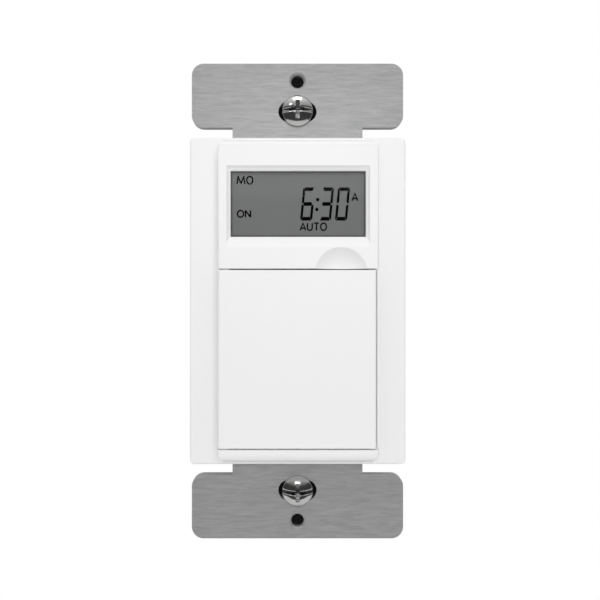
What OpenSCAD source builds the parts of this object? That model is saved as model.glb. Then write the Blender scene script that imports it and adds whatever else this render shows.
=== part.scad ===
// Timer light switch for a single wall box. A steel strap carries a white face with a display and
// a flip door over the setting keys; a rear case holds the control board and the power board.
// Every module works in a panel frame: x to the right, y up, z out of the wall towards the user,
// with z = 0 on the back of the strap. stand() turns the panel upright, so the front faces -Y.

/* [Mounting strap] */
// Length over both ears
strap_length = 104.5; // [102:0.1:108]
// Width of the ears and of the flange
strap_width = 46.5; // [44:0.1:50]
// Thickness of the steel
strap_thick = 1.5; // [1.2:0.1:2]
// Height of each ear
ear_height = 14.1; // [13:0.1:15]
// Corner radius of the ears
ear_corner_r = 2.6; // [1:0.1:4]
// Width of the neck between ear and flange
neck_width = 28.6; // [22:0.1:34]
// Distance between the two mounting screws
mount_spacing = 83.34; // [82.5:0.01:84.5]
// Length of the oval screw slot
slot_length = 8.4; // [7.6:0.1:10]
// Width of the oval screw slot
slot_width = 4.5; // [4:0.1:5]
// Distance between the two wall-plate screw holes
plate_spacing = 96.84; // [96:0.01:97.5]
// Diameter of the wall-plate screw holes
plate_hole_d = 2.8; // [2.4:0.1:3.2]
// Countersink of the wall-plate screw holes
plate_bevel = 0.45; // [0.1:0.05:0.6]

/* [Mounting screws] */
// Diameter of the head
head_d = 6.7; // [6:0.1:7.2]
// Height of the head
head_height = 2.1; // [1.8:0.1:2.6]
// Height of the upright rim below the dome of the head
head_rim = 0.7; // [0.4:0.1:1]
// Diameter of the plain neck that turns in the strap
screw_neck_d = 3.1; // [2.6:0.1:3.3]
// Diameter of the threaded stretch
screw_d = 3.5; // [3.4:0.1:4]
// Length below the head
screw_length = 22; // [15:0.5:32]
// Length of the tapered point
screw_point = 1; // [0.5:0.1:2]
// Width of the driver slot
driver_slot = 1; // [0.6:0.1:1.2]
// Depth of the driver slot
driver_slot_deep = 1.3; // [0.5:0.1:1.4]
// Span of the cross recess
driver_cross = 3.6; // [3:0.1:4]
// Depth of the cross recess
driver_cross_deep = 1.5; // [1.1:0.1:1.6]
// Length of the plain neck behind the retainer
neck_play = 0.4; // [0.2:0.1:0.8]
// Width of the fibre retainer behind each ear
retainer_width = 9; // [7:0.1:11]
// Thickness of the fibre retainer
retainer_thick = 0.8; // [0.5:0.1:1.2]
// Reach of the retainer past the wall-plate screw hole
retainer_reach = 2.4; // [1.8:0.1:3]
// Clearance between the retainer and the rear case
retainer_gap = 0.5; // [0.3:0.1:1]
// Clearance of the screw neck in the retainer
retainer_clear = 0.12; // [0.05:0.01:0.2]
// Length of the slits that let the wall-plate screw push through
slit_length = 3.4; // [2.6:0.1:4]
// Width of the slits
slit_width = 0.1; // [0.05:0.01:0.2]

/* [Front housing] */
// Height of the flange
flange_height = 70.4; // [69.5:0.1:73]
// Thickness of the flange
flange_thick = 2.5; // [2:0.1:3]
// Corner radius of the flange
flange_corner_r = 1.2; // [0.5:0.1:3]
// Rounding of the front edges of the flange
flange_edge_r = 0.4; // [0.1:0.1:0.8]
// Width of the raised face
face_width = 33.2; // [33:0.1:34]
// Height of the raised face
face_height = 66.7; // [66.2:0.1:68]
// Rise of the face above the flange
face_rise = 5.5; // [5.2:0.1:6.5]
// Corner radius of the raised face
face_corner_r = 2; // [1:0.1:3]
// Rounding of the long edges of the face
face_side_r = 0.6; // [0.2:0.1:1]
// Rounding of the top and bottom edges of the face
face_end_r = 1.8; // [1:0.1:2.7]
// Thickness of the side walls
side_wall = 1.2; // [0.9:0.05:1.25]
// Wall around the coring pockets behind the flange
core_wall = 1.2; // [0.8:0.1:1.6]
// Depth of the coring pockets
core_deep = 1; // [0.5:0.1:1.4]
// Thickness of the face around the display
bezel_thick = 1.3; // [1.25:0.05:2.2]
// Clearance of the housing in the strap's window
seat_clear = 0.15; // [0.1:0.05:0.3]
// Width of solid plastic beside the hollow between display and door
rail_side = 3; // [2:0.1:4]
// Thickness of the rail above the door
rail_thick = 1.8; // [1.2:0.1:2]

/* [Finger scoop] */
// Distance of the scoop from the middle, to the right
scoop_x = 8.8; // [-8:0.1:10]
// Radius of the scoop's outline
scoop_r = 5.4; // [3:0.1:5.6]
// Depth of the scoop
scoop_deep = 1.8; // [0.8:0.1:2]
// Distance of the scoop's middle below the door line
scoop_drop = 1; // [0:0.1:2]

/* [Display] */
// Width of the display opening
display_width = 27.9; // [24:0.1:28]
// Height of the display opening
display_height = 13.6; // [11:0.1:13.8]
// Height of the display's middle above the middle of the face
display_y = 20; // [19.6:0.1:20.2]
// Width of the bevel beside the opening
bevel_side = 0.75; // [0.3:0.05:1]
// Width of the bevel above the opening
bevel_top = 1; // [0.3:0.05:1.4]
// Width of the bevel below the opening
bevel_bottom = 1.1; // [0.3:0.05:1.4]
// Width of the gentle run-out below the bottom bevel
run_width = 1.1; // [0.4:0.05:1.4]
// Depth of the run-out at the bevel
run_deep = 0.12; // [0.05:0.01:0.2]
// Depth of the whole bevel
bevel_deep = 0.6; // [0.5:0.05:1.2]
// Depth of the gentle inner part of the bevel
ledge_deep = 0.25; // [0.1:0.05:0.4]
// Share of the bevel's width that the inner part takes
ledge_share = 0.55; // [0.3:0.05:0.7]
// Thickness of the clear window's rim
window_thick = 0.6; // [0.5:0.1:1.4]
// Width of the clear window's rim around the opening
window_rim = 1; // [0.7:0.1:1]
// Air gap between the clear window and the display panel
display_gap = 0.1; // [0.1:0.05:0.4]
// Thickness of the display panel
lcd_thick = 2; // [1.6:0.1:2.6]
// Width of the panel's border outside the opening
lcd_border = 0.5; // [0.3:0.1:0.6]
// Wall of the display holder
holder_wall = 0.6; // [0.5:0.05:0.7]
// Width of each elastomer contact strip
contact_width = 2; // [1.4:0.1:2.2]

/* [Door] */
// Height of the door's top edge above the middle of the face
door_top = 6.35; // [6:0.05:6.8]
// Height of the door
door_height = 36.6; // [35.5:0.1:36.8]
// Thickness of the door
door_thick = 1.8; // [1.5:0.1:2]
// Gap between the door and the face above and below it
door_gap = 0.3; // [0.2:0.05:0.4]
// Gap at the free edge of the door, against the side of the face
door_side_gap = 0.1; // [0.05:0.05:0.4]
// Radius of the door's hinged edge
hinge_r = 1.6; // [1.4:0.05:1.7]
// Diameter of the hinge pins
pin_d = 1.6; // [1.2:0.1:1.8]
// Length of each hinge pin beyond the door
pin_length = 1.6; // [1:0.1:1.7]
// Running clearance of the pins, each side
pin_clear = 0.06; // [0.03:0.01:0.1]
// Width of the nail groove along the door's free edge
nail_width = 0.38; // [0.2:0.02:0.6]
// Depth of the nail groove
nail_deep = 1.2; // [0.3:0.05:1.4]
// Thickness of the lip outside the nail groove
lip_width = 0.28; // [0.2:0.02:0.5]
// Distance of the lip behind the front of the door
lip_drop = 0.1; // [0.05:0.05:0.3]
// Corner radius at the bottom of the door's free edge
door_corner_r = 1; // [0.5:0.1:2]
// Thickness of the skirt behind the free edge
skirt_thick = 1.2; // [0.8:0.1:1.5]
// Depth of the skirt behind the door
skirt_deep = 1.4; // [1:0.1:1.4]
// Width of the stiffening ribs inside the door
rib_width = 0.8; // [0.6:0.1:1.2]
// Height of the stiffening ribs inside the door
rib_height = 0.5; // [0.3:0.1:0.6]
// Length of the snap bead on the skirt
bead_length = 4; // [2:0.1:6]
// Radius of the snap bead on the skirt
bead_r = 0.25; // [0.2:0.05:0.3]

/* [Keys] */
// Rise of the key deck above the flange
deck_rise = 1.2; // [1.1:0.05:1.3]
// Thickness of the key deck
deck_thick = 1.2; // [1:0.1:1.3]
// Width of a key
key_width = 5.4; // [4:0.1:6.5]
// Height of a key
key_height = 3.6; // [3:0.1:5]
// Rise of a key above the deck
key_proud = 0.9; // [0.5:0.1:1]
// Distance between key columns
key_pitch_x = 9; // [8.8:0.1:10]
// Distance between key rows
key_pitch_y = 8; // [7:0.1:8.4]
// Height of the upper key row above the middle of the face
key_row_y = 0.5; // [0:0.1:1.2]
// Gap around each key, each side
key_clear = 0.15; // [0.1:0.01:0.3]
// Travel of a key
key_travel = 0.5; // [0.3:0.05:0.6]
// Width of the on and off bar
bar_width = 16; // [10:0.1:20]
// Height of the on and off bar
bar_height = 5; // [4:0.1:6]
// Height of the bar's middle, below the middle of the face
bar_y = -16; // [-17:0.1:-15.4]
// Rise of the bar above the deck
bar_proud = 1.8; // [1.5:0.1:2]
// Travel of the bar and of the closed door
press_travel = 0.8; // [0.5:0.05:0.85]
// Diameter of the reset button
reset_d = 1.9; // [1.4:0.1:3]
// Depth of the reset button below the deck
reset_sunk = 0.3; // [0.1:0.1:0.6]
// Distance of the reset button from the middle, to the right
reset_x = 9; // [-9:0.1:10]
// Height of the reset button, below the middle of the face
reset_y = -24.5; // [-25:0.1:-24]

/* [Rear case] */
// Outside width
rear_width = 43.5; // [43:0.1:44.5]
// Outside height
rear_height = 69; // [68.6:0.1:69.4]
// Depth behind the strap
rear_depth = 32; // [31.6:0.1:38]
// Wall thickness
rear_wall = 2; // [1.6:0.1:2.1]
// Corner radius of the case
rear_corner_r = 2; // [1:0.1:4]
// Rounding of the rear edges
rear_edge_r = 1.2; // [0.5:0.1:1.5]
// Diameter of the lead holes
lead_hole_d = 4; // [3:0.1:4.5]
// Distance between lead holes
lead_pitch = 9; // [8:0.1:10]
// Height of the row of lead holes, below the middle
lead_y = -17; // [-19:0.1:-12]
// Thickness of the eyelets that take the leads
eyelet_thick = 0.8; // [0.5:0.1:1]
// Width of the collar around each lead hole
collar_wall = 1.2; // [0.8:0.1:1.5]
// Height of the collar behind the case
collar_height = 0.8; // [0.4:0.1:1.5]

/* [Case screws] */
// Distance of the screws from the middle, sideways
case_screw_x = 14.6; // [14.3:0.05:14.7]
// Distance of the screws from the middle, up and down
case_screw_y = 30.4; // [30.3:0.05:30.5]
// Diameter of the screws
case_screw_d = 2.5; // [2:0.1:2.6]
// Diameter of the screw heads
case_head_d = 4.4; // [4:0.1:4.8]
// Height of the screw heads
case_head_height = 1.6; // [1.2:0.1:2]
// Reach of the screws beyond the back of the strap
case_screw_reach = 3.3; // [2:0.1:3.4]
// Diameter of the screw bosses in the front housing
boss_d = 3.8; // [3.5:0.05:3.8]
// Diameter of the screw tubes in the rear case
tube_d = 5; // [4.6:0.1:5.4]

/* [Control board] */
// Thickness of both boards
board_thick = 1.6; // [1.2:0.1:2]
// Width of the control board
control_width = 35; // [34.8:0.1:38]
// Gap between a board and the wall of the case, each side
board_clear = 0.3; // [0.2:0.05:0.35]
// Distance of the control board behind the strap
control_drop = 1.5; // [1.2:0.1:2]
// Side of the square push switches
switch_size = 6; // [5:0.1:6.2]
// Height of the push switches
switch_height = 3; // [2.8:0.1:3.2]
// Diameter of the switch plungers
plunger_d = 3.2; // [2.4:0.1:3.5]
// Rise of a plunger above its switch
plunger_proud = 1.1; // [1:0.05:1.2]
// Side of the microcontroller
chip_size = 10; // [7:0.1:12]
// Height of the microcontroller
chip_height = 1.4; // [1:0.1:2]
// Length of the clock crystal
crystal_length = 10.2; // [8:0.1:11]
// Width of the clock crystal
crystal_width = 4; // [3:0.1:4.6]
// Height of the clock crystal
crystal_height = 3.4; // [2.5:0.1:4]
// Diameter of the backup cell
cell_d = 12.5; // [10:0.1:14]
// Thickness of the backup cell
cell_thick = 2.5; // [2:0.1:3.2]
// Thickness of the spring clip's metal
clip_thick = 0.4; // [0.3:0.05:0.6]
// Width of the spring clip
clip_width = 4; // [3:0.1:6]

/* [Power board] */
// Height of the power board
power_height = 54; // [53:0.5:55]
// Height of the posts under the power board
post_height = 2.4; // [2.2:0.1:3]
// Diameter of the posts
post_d = 4.4; // [4:0.1:5]
// Distance of the posts from the ends of the power board
post_inset = 3; // [2.6:0.1:5]
// Diameter of the power-board screws
power_screw_d = 2; // [1.6:0.1:2.4]
// Distance of the upper row of parts above the middle
row_y = 5; // [4.5:0.1:6]
// Gap between neighbouring parts
part_gap = 0.8; // [0.4:0.1:1.2]
// Length of the relay
relay_length = 19; // [16:0.1:20]
// Width of the relay
relay_width = 15.5; // [12:0.1:16]
// Height of the relay
relay_height = 15.3; // [12:0.1:16]
// Length of the film capacitor
film_length = 18; // [13:0.1:20]
// Width of the film capacitor
film_width = 8.5; // [6:0.1:10]
// Height of the film capacitor
film_height = 14.5; // [11:0.1:16]
// Diameter of the large electrolytic capacitor
large_cap_d = 10; // [8:0.1:11]
// Height of the large electrolytic capacitor
large_cap_height = 16; // [11:0.1:17]
// Diameter of the small electrolytic capacitor
small_cap_d = 8; // [5:0.1:9]
// Height of the small electrolytic capacitor
small_cap_height = 11; // [8:0.1:14]
// Diameter of the varistor
varistor_d = 11; // [7:0.1:12]
// Thickness of the varistor
varistor_thick = 4.2; // [3:0.1:5]
// Width of the varistor's foot
varistor_foot = 6; // [4:0.1:8]
// Diameter of the fuse
fuse_d = 7; // [5:0.1:8]
// Height of the fuse
fuse_height = 7.5; // [6:0.1:9]
// Length of a rectifier diode
diode_length = 4.3; // [3.5:0.1:5]
// Width of a rectifier diode
diode_width = 2.6; // [2:0.1:3]
// Height of a rectifier diode
diode_height = 2.2; // [1.6:0.1:2.6]
// Number of pins between the boards
link_pins = 8; // [4:1:10]
// Distance between the pins
link_pitch = 2.54; // [2:0.01:2.54]
// Height of the socket on the power board
link_socket = 8.5; // [5:0.1:11]
// Width of the socket
link_width = 2.5; // [2:0.1:3]
// Side of a pin
link_pin = 0.64; // [0.4:0.02:0.8]

/* [Hidden] */
$fn = 64;

// Levels, from the wall towards the user
strap_front = strap_thick;
flange_front = strap_front + flange_thick;
face_front = flange_front + face_rise;
bezel_back = face_front - bezel_thick;
window_back = bezel_back - window_thick;
lcd_front = window_back - display_gap;
lcd_back = lcd_front - lcd_thick;
deck_front = flange_front + deck_rise;
deck_back = deck_front - deck_thick;
door_back = face_front - door_thick;
board_front = -control_drop;
board_back = board_front - board_thick;
rear_inside = rear_wall - rear_depth;
power_back = rear_inside + post_height;
power_front = power_back + board_thick;

// Front housing, its hollow and its seat in the strap
flange_width = strap_width;
inner_width = face_width - 2 * side_wall;
inner_height = face_height - 2 * side_wall;
seat_width = face_width + 2;
seat_height = face_height - 0.8;
seat_back = 0.1;
frame_width = flange_width - 1;
frame_height = flange_height - 1;
boss_r = boss_d / 2;
case_screw_r = case_screw_d / 2;
slip = 0.2;

surround_over = 0.4;

// Display stack
window_width = display_width + 2 * window_rim;
window_height = display_height + 2 * window_rim;
lcd_width = display_width + 2 * lcd_border;
lcd_height = display_height + 2 * lcd_border;
holder_width = lcd_width + slip + 2 * holder_wall;
holder_height = lcd_height + slip + 2 * holder_wall;
pocket_bottom = display_y - max(window_height, holder_height) / 2 - slip;
contact_length = display_width - 1;
contact_y = lcd_height / 2 - contact_width / 2 - 0.3;

// Door and the opening that it closes
opening_top = door_top + door_gap;
door_bottom = door_top - door_height;
opening_bottom = door_bottom - door_gap;
hinge_x = hinge_r - face_width / 2;
hinge_z = face_front - hinge_r;
hinge_sweep = face_side_r + sqrt(2) * (hinge_r - face_side_r) + pin_clear;
relief_front = min(deck_front, hinge_z - press_travel - hinge_sweep);
door_right = face_width / 2 - door_side_gap;
skirt_back = door_back - skirt_deep;
bead_z = skirt_back + bead_r;
catch_x = door_right - skirt_thick - bead_r - 0.05;
scoop_ball_r = (scoop_r * scoop_r + scoop_deep * scoop_deep) / (2 * scoop_deep);

// Keys, as name, column and row, and the switches behind them, as place and travel
KEYS = [["day", -1, 0], ["hour", 0, 0], ["minute", 1, 0],
    ["program", -1, 1], ["clock", 0, 1], ["mode", 1, 1]];
function key_place(key) = [key[1] * key_pitch_x, key_row_y - key[2] * key_pitch_y];
bar_place = [0, bar_y];
reset_place = [reset_x, reset_y];
key_top = deck_front + key_proud;
bar_top = deck_front + bar_proud;
collar_front = deck_back - 0.1;
collar_back = collar_front - 0.8;
switch_top = board_front + switch_height;
plunger_top = switch_top + plunger_proud;
plunger_back = switch_top - 0.7;
SWITCHES = concat([for (key = KEYS) [key_place(key), key_travel]],
    [[bar_place, press_travel], [reset_place, key_travel]]);

// Boards and the parts on the power board
control_height = rear_height - 2 * rear_wall - 2 * board_clear;
power_width = rear_width - 2 * rear_wall - 2 * board_clear;
post_x = power_width / 2 - post_inset - 0.6;
post_y = min(power_height / 2 - post_inset, case_screw_y - tube_d / 2 - power_screw_d - slip);
relay_left = 2 - power_width / 2;
film_left = relay_left + relay_width + part_gap;
low_top = row_y - part_gap;
cap_top = low_top - varistor_d - part_gap;
small_cap_left = relay_left + large_cap_d + part_gap;
diode_left = relay_left + varistor_thick + part_gap;
link_x = control_width / 2 - link_width / 2;
fuse_x = link_x - 2 - fuse_d / 2;
cell_y = 17;

// Turns the panel frame upright
module stand() {
    rotate([90, 0, 0]) children();
}

module rounded_rect(w, h, r) {
    square([w - 2 * r, h], center = true);
    square([w, h - 2 * r], center = true);
    for (sx = [-1, 1], sy = [-1, 1])
        translate([sx * (w / 2 - r), sy * (h / 2 - r)])
            circle(r);
}

// Flat plate between two levels
module slab(w, h, r, z0, z1) {
    translate([0, 0, z0])
        linear_extrude(z1 - z0)
            rounded_rect(w, h, r);
}

// Plain box between two corners
module box(low, high) {
    translate(low)
        cube(high - low);
}

module crown(w, z0, z1, r) {
    translate([-w / 2, z0])
        square([w, z1 - r - z0]);
    translate([r - w / 2, z0])
        square([w - 2 * r, z1 - z0]);
    for (s = [-1, 1])
        translate([s * (w / 2 - r), z1 - r])
            circle(r);
}

// Shape extruded along y, drawn in x and z
module along_y(y0, y1) {
    rotate([90, 0, 0])
        translate([0, 0, -y1])
            linear_extrude(y1 - y0)
                children();
}

// Shape extruded along x, drawn in y and z
module along_x(x0, x1) {
    rotate([90, 0, 90])
        translate([0, 0, x0])
            linear_extrude(x1 - x0)
                children();
}

// Block with rounded corners and rounded front edges
module soft_block(w, h, corner_r, z0, z1, side_r, end_r) {
    intersection() {
        slab(w, h, corner_r, z0, z1);
        along_x(-w / 2, w / 2)
            crown(h, z0, z1, end_r);
        along_y(-h / 2, h / 2)
            crown(w, z0, z1, side_r);
    }
}

module at_corners(x, y) {
    for (sx = [-1, 1], sy = [-1, 1])
        translate([sx * x, sy * y, 0])
            children();
}

// Mounting strap
module mounting_strap() {
    color("silver") stand()
        difference() {
            linear_extrude(strap_thick) {
                for (s = [-1, 1])
                    translate([0, s * (strap_length - ear_height) / 2])
                        rounded_rect(strap_width, ear_height, ear_corner_r);
                square([neck_width, strap_length - ear_height], center = true);
                square([frame_width, frame_height], center = true);
            }
            box([-seat_width / 2 - seat_clear, -seat_height / 2 - seat_clear, -1],
                [seat_width / 2 + seat_clear, seat_height / 2 + seat_clear, strap_thick + 1]);
            for (s = [-1, 1]) {
                translate([0, s * mount_spacing / 2, -1])
                    linear_extrude(strap_thick + 2)
                        oval(slot_length, slot_width);
                translate([0, s * plate_spacing / 2, 0])
                    plate_hole();
            }
        }
}

module oval(length, width) {
    square([length - width, width], center = true);
    for (s = [-1, 1])
        translate([s * (length - width) / 2, 0])
            circle(width / 2);
}

module plate_hole() {
    translate([0, 0, -1])
        cylinder(d = plate_hole_d, h = strap_thick + 2);
    translate([0, 0, strap_thick - plate_bevel])
        cylinder(d1 = plate_hole_d, d2 = plate_hole_d + 4 * plate_bevel, h = 2 * plate_bevel);
}

// Captive mounting screws and their retainers
module mounting_screw(side) {
    neck_back = -retainer_thick - neck_play;
    tip = strap_front - screw_length;
    dome = head_height - head_rim;
    dome_r = (head_d * head_d / 4 + dome * dome) / (2 * dome);
    color("gainsboro") stand()
        translate([0, side * mount_spacing / 2, 0])
            difference() {
                union() {
                    intersection() {
                        translate([0, 0, strap_front])
                            cylinder(d = head_d, h = head_height);
                        translate([0, 0, strap_front + head_height - dome_r])
                            sphere(dome_r);
                    }
                    translate([0, 0, neck_back])
                        cylinder(d = screw_neck_d, h = strap_front - neck_back + 0.2);
                    translate([0, 0, tip + screw_point])
                        cylinder(d = screw_d, h = neck_back - tip - screw_point);
                    translate([0, 0, tip])
                        cylinder(d1 = screw_d - screw_point, d2 = screw_d, h = screw_point);
                }
                driver_recess(strap_front + head_height);
            }
}

module driver_recess(top) {
    box([-head_d, -driver_slot / 2, top - driver_slot_deep],
        [head_d, driver_slot / 2, top + 1]);
    for (turn = [0, 90])
        rotate(turn)
            box([-driver_cross / 2, -driver_slot / 2, top - driver_cross_deep],
                [driver_cross / 2, driver_slot / 2, top + 1]);
}

module screw_retainers() {
    inner = max(mount_spacing / 2 - retainer_width / 2, rear_height / 2 + retainer_gap);
    outer = plate_spacing / 2 + retainer_reach;
    color("black") stand()
        for (s = [-1, 1])
            difference() {
                translate([0, s * (inner + outer) / 2, 0])
                    slab(retainer_width, outer - inner, 0.5, -retainer_thick, 0);
                translate([0, s * mount_spacing / 2, -retainer_thick - 1])
                    cylinder(d = screw_neck_d + retainer_clear, h = retainer_thick + 2);
                translate([0, s * plate_spacing / 2, 0])
                    for (turn = [45, 135])
                        rotate(turn)
                            box([-slit_length / 2, -slit_width / 2, -retainer_thick - 1],
                                [slit_length / 2, slit_width / 2, 1]);
            }
}

// Front housing
module front_housing() {
    color("white") stand()
        difference() {
            union() {
                housing_shell();
                case_bosses(case_screw_y, bezel_back);
                case_bosses(-case_screw_y, deck_back);
                door_catch();
            }
            at_corners(case_screw_x, case_screw_y)
                translate([0, 0, board_front - 1])
                    cylinder(r = case_screw_r + 0.03, h = case_screw_reach + 0.5 - board_front + 1);
        }
}

module housing_shell() {
    difference() {
        union() {
            soft_block(flange_width, flange_height, flange_corner_r, strap_front, flange_front,
                flange_edge_r, flange_edge_r);
            soft_block(face_width, face_height, face_corner_r, strap_front, face_front,
                face_side_r, face_end_r);
            slab(seat_width, seat_height, 0.5, seat_back, strap_front + 0.5);
        }
        box([-face_width, opening_bottom, deck_front], [face_width, opening_top, face_front + 1]);
        box([-face_width, opening_bottom, relief_front], [hinge_x + hinge_sweep, opening_top, face_front + 1]);
        housing_hollow();
        display_opening();
        translate([scoop_x, opening_top - scoop_drop, face_front + scoop_ball_r - scoop_deep])
            sphere(scoop_ball_r);
        hinge_socket(opening_top - 0.5, door_top + pin_length + 0.2);
        hinge_socket(door_bottom - pin_length - 0.2, opening_bottom + 0.5);
        key_openings();
    }
}

module housing_hollow() {
    low = seat_back - 1;
    slab(inner_width, inner_height, 0.8, low, deck_back);
    box([-inner_width / 2, pocket_bottom, low], [inner_width / 2, inner_height / 2, bezel_back]);
    box([rail_side - inner_width / 2, opening_top + rail_thick, low],
        [inner_width / 2 - rail_side, pocket_bottom - side_wall, deck_front + 1]);
    for (s = [-1, 1], row = [-1.5:1.5])
        translate([s * (seat_width / 2 + flange_width / 2) / 2, row * flange_height / 4.6, strap_front])
            cube([flange_width / 2 - seat_width / 2 - 2 * core_wall, flange_height / 5, 2 * core_deep],
                center = true);
}

// Opening with a surround in two slopes, widened a little beyond the face so that it cuts cleanly
module display_opening() {
    half = display_width / 2;
    low = display_y - display_height / 2;
    high = display_y + display_height / 2;
    floor_z = face_front - bevel_deep;
    box([-half, low, window_back], [half, high, face_front]);
    intersection() {
        along_y(0, face_height)
            polygon(concat([[-half, floor_z], [half, floor_z]],
                slopes(half, 1, bevel_side), reversed(slopes(-half, -1, bevel_side))));
        along_x(-face_width, face_width)
            polygon(concat([[low, floor_z], [high, floor_z]],
                slopes(high, 1, bevel_top), reversed(run_out(low))));
    }
}

// Gentle and steep slope of the surround, from one edge of the opening outwards
function slopes(edge, side, width) =
    let (reach = 1 + (1 - ledge_share) * surround_over / (bevel_deep - ledge_deep))
    [[edge + side * ledge_share * width, face_front - bevel_deep + ledge_deep],
        [edge + side * reach * width, face_front + surround_over]];

// Slopes below the opening, which run out softly into the face
function run_out(edge) =
    [[edge - ledge_share * bevel_bottom, face_front - bevel_deep + ledge_deep],
        [edge - bevel_bottom, face_front - run_deep],
        [edge - bevel_bottom - run_width * (1 + surround_over / run_deep), face_front + surround_over]];

function reversed(list) = [for (k = [len(list) - 1:-1:0]) list[k]];

// Socket that lets the hinge pin turn, and sink with the door when it is pressed
module hinge_socket(y0, y1) {
    r = pin_d / 2 + pin_clear;
    for (sink = [0, press_travel + pin_clear])
        translate([hinge_x, y0, hinge_z - sink])
            rotate([-90, 0, 0])
                cylinder(r = r, h = y1 - y0);
    box([hinge_x - r, y0, hinge_z - press_travel - pin_clear], [hinge_x + r, y1, hinge_z]);
}

module key_openings() {
    for (key = KEYS)
        translate(key_place(key))
            slab(key_width + 2 * key_clear, key_height + 2 * key_clear, 0.6, deck_back - 1, deck_front + 1);
    translate(bar_place)
        slab(bar_width + 2 * key_clear, bar_height + 2 * key_clear, 0.6, deck_back - 1, deck_front + 1);
    translate([reset_x, reset_y, deck_back - 1])
        cylinder(d = reset_d + 2 * key_clear, h = deck_thick + 2);
}

module case_bosses(y, top) {
    for (s = [-1, 1])
        translate([s * case_screw_x, y, board_front])
            cylinder(r = boss_r, h = top + 0.2 - board_front);
}

module door_catch() {
    half = bead_length / 2 + 0.5;
    box([catch_x - 1, bar_y - half, deck_front - 0.2], [catch_x, bar_y + half, bead_z + bead_r / 2]);
}

// Display
module display_window() {
    color("lightcyan", 0.4) stand()
        translate([0, display_y, 0]) {
            slab(window_width, window_height, 0.5, window_back, bezel_back);
            box([0.1 - display_width / 2, 0.1 - display_height / 2, window_back + 0.2],
                [display_width / 2 - 0.1, display_height / 2 - 0.1, face_front - bevel_deep]);
        }
}

module display_panel() {
    color("gray") stand()
        box([-lcd_width / 2, display_y - lcd_height / 2, lcd_back],
            [lcd_width / 2, display_y + lcd_height / 2, lcd_front]);
}

module display_holder() {
    color("dimgray") stand()
        translate([0, display_y, 0])
            difference() {
                slab(holder_width, holder_height, 0.4, board_front, window_back);
                slab(lcd_width + slip, lcd_height + slip, 0.1, lcd_back, window_back + 1);
                for (s = [-1, 1])
                    translate([0, s * contact_y, 0])
                        slab(contact_length + slip, contact_width + slip, 0.1, board_front - 1, lcd_back + 1);
                slab(contact_length, 2 * contact_y - contact_width - 1.8, 0.4, board_front - 1, lcd_back + 1);
            }
}

module contact_strips() {
    color("hotpink") stand()
        for (s = [-1, 1])
            translate([0, display_y + s * contact_y, 0])
                box([-contact_length / 2, -contact_width / 2, board_front],
                    [contact_length / 2, contact_width / 2, lcd_back]);
}

// Door
module door() {
    color("white") stand() {
        difference() {
            union() {
                along_y(door_bottom, door_top)
                    door_section();
                door_inside();
            }
            door_corner();
        }
        translate([hinge_x, door_bottom - pin_length, hinge_z])
            rotate([-90, 0, 0])
                cylinder(d = pin_d, h = door_height + 2 * pin_length);
    }
}

// Hinge barrel with the edge of the face on its front corner, the cover with its nail groove, and the skirt
module door_section() {
    left = hinge_x - hinge_r;
    lip = door_right - lip_width;
    translate([hinge_x, hinge_z])
        circle(hinge_r);
    translate([left + face_side_r, face_front - face_side_r])
        circle(face_side_r);
    polygon([[left, hinge_z], [hinge_x, door_back], [door_right, door_back],
        [door_right, face_front - lip_drop], [lip, face_front - lip_drop], [lip, face_front - nail_deep],
        [lip - nail_width, face_front - nail_deep], [lip - nail_width, face_front],
        [left + face_side_r, face_front], [left, face_front - face_side_r]]);
    translate([door_right - skirt_thick, skirt_back])
        square([skirt_thick, skirt_deep + 0.2]);
}

// Ribs between the key rows, the pad that works the bar, and the snap bead
module door_inside() {
    left = hinge_x + hinge_r + 0.4;
    for (y = [key_row_y + key_pitch_y / 2, key_row_y - key_pitch_y / 2, door_bottom + 2])
        box([left, y - rib_width / 2, door_back - rib_height],
            [door_right - skirt_thick / 2, y + rib_width / 2, door_back + 0.2]);
    translate(bar_place)
        slab(bar_width + 1, bar_height + 1, 0.6, bar_top, door_back + 0.2);
    translate([door_right - skirt_thick, bar_y - bead_length / 2, bead_z])
        rotate([-90, 0, 0])
            cylinder(r = bead_r, h = bead_length);
}

module door_corner() {
    r = door_corner_r;
    translate([door_right - r, door_bottom + r, skirt_back - 1])
        linear_extrude(face_front - skirt_back + 2)
            difference() {
                translate([0, -r - 1])
                    square(r + 1);
                circle(r);
            }
}

// Keys and the bar
module key_body(place, w, h, top) {
    translate(place) {
        soft_block(w, h, 0.6, collar_front - 0.2, top, 0.35, 0.35);
        slab(w + 1.4, h + 1.2, 0.6, collar_back, collar_front);
        translate([0, 0, plunger_top])
            cylinder(d = plunger_d - 0.4, h = collar_back - plunger_top + 0.2);
    }
}

module setting_key(key) {
    color("lightgray") stand()
        key_body(key_place(key), key_width, key_height, key_top);
}

module on_off_bar() {
    color("gainsboro") stand()
        key_body(bar_place, bar_width, bar_height, bar_top);
}

module reset_button() {
    color("dimgray") stand()
        translate(reset_place) {
            translate([0, 0, plunger_top])
                cylinder(d = reset_d, h = deck_front - reset_sunk - plunger_top);
            translate([0, 0, collar_back])
                cylinder(d = reset_d + 2, h = collar_front - collar_back);
        }
}

module plunger(place) {
    color("black") stand()
        translate([place[0], place[1], plunger_back])
            cylinder(d = plunger_d, h = plunger_top - plunger_back);
}

// Control board
module push_switches() {
    color("darkslategray") stand()
        for (item = SWITCHES)
            translate(item[0])
                difference() {
                    slab(switch_size, switch_size, 0.4, board_front, switch_top);
                    translate([0, 0, plunger_back - item[1] - 0.15])
                        cylinder(d = plunger_d + 0.3, h = switch_height);
                }
}

module control_board() {
    color("darkgreen") stand()
        difference() {
            slab(control_width, control_height, 1, board_back, board_front);
            at_corners(case_screw_x, case_screw_y)
                translate([0, 0, board_back - 1])
                    cylinder(r = case_screw_r + 0.15, h = board_thick + 2);
        }
}

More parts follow.
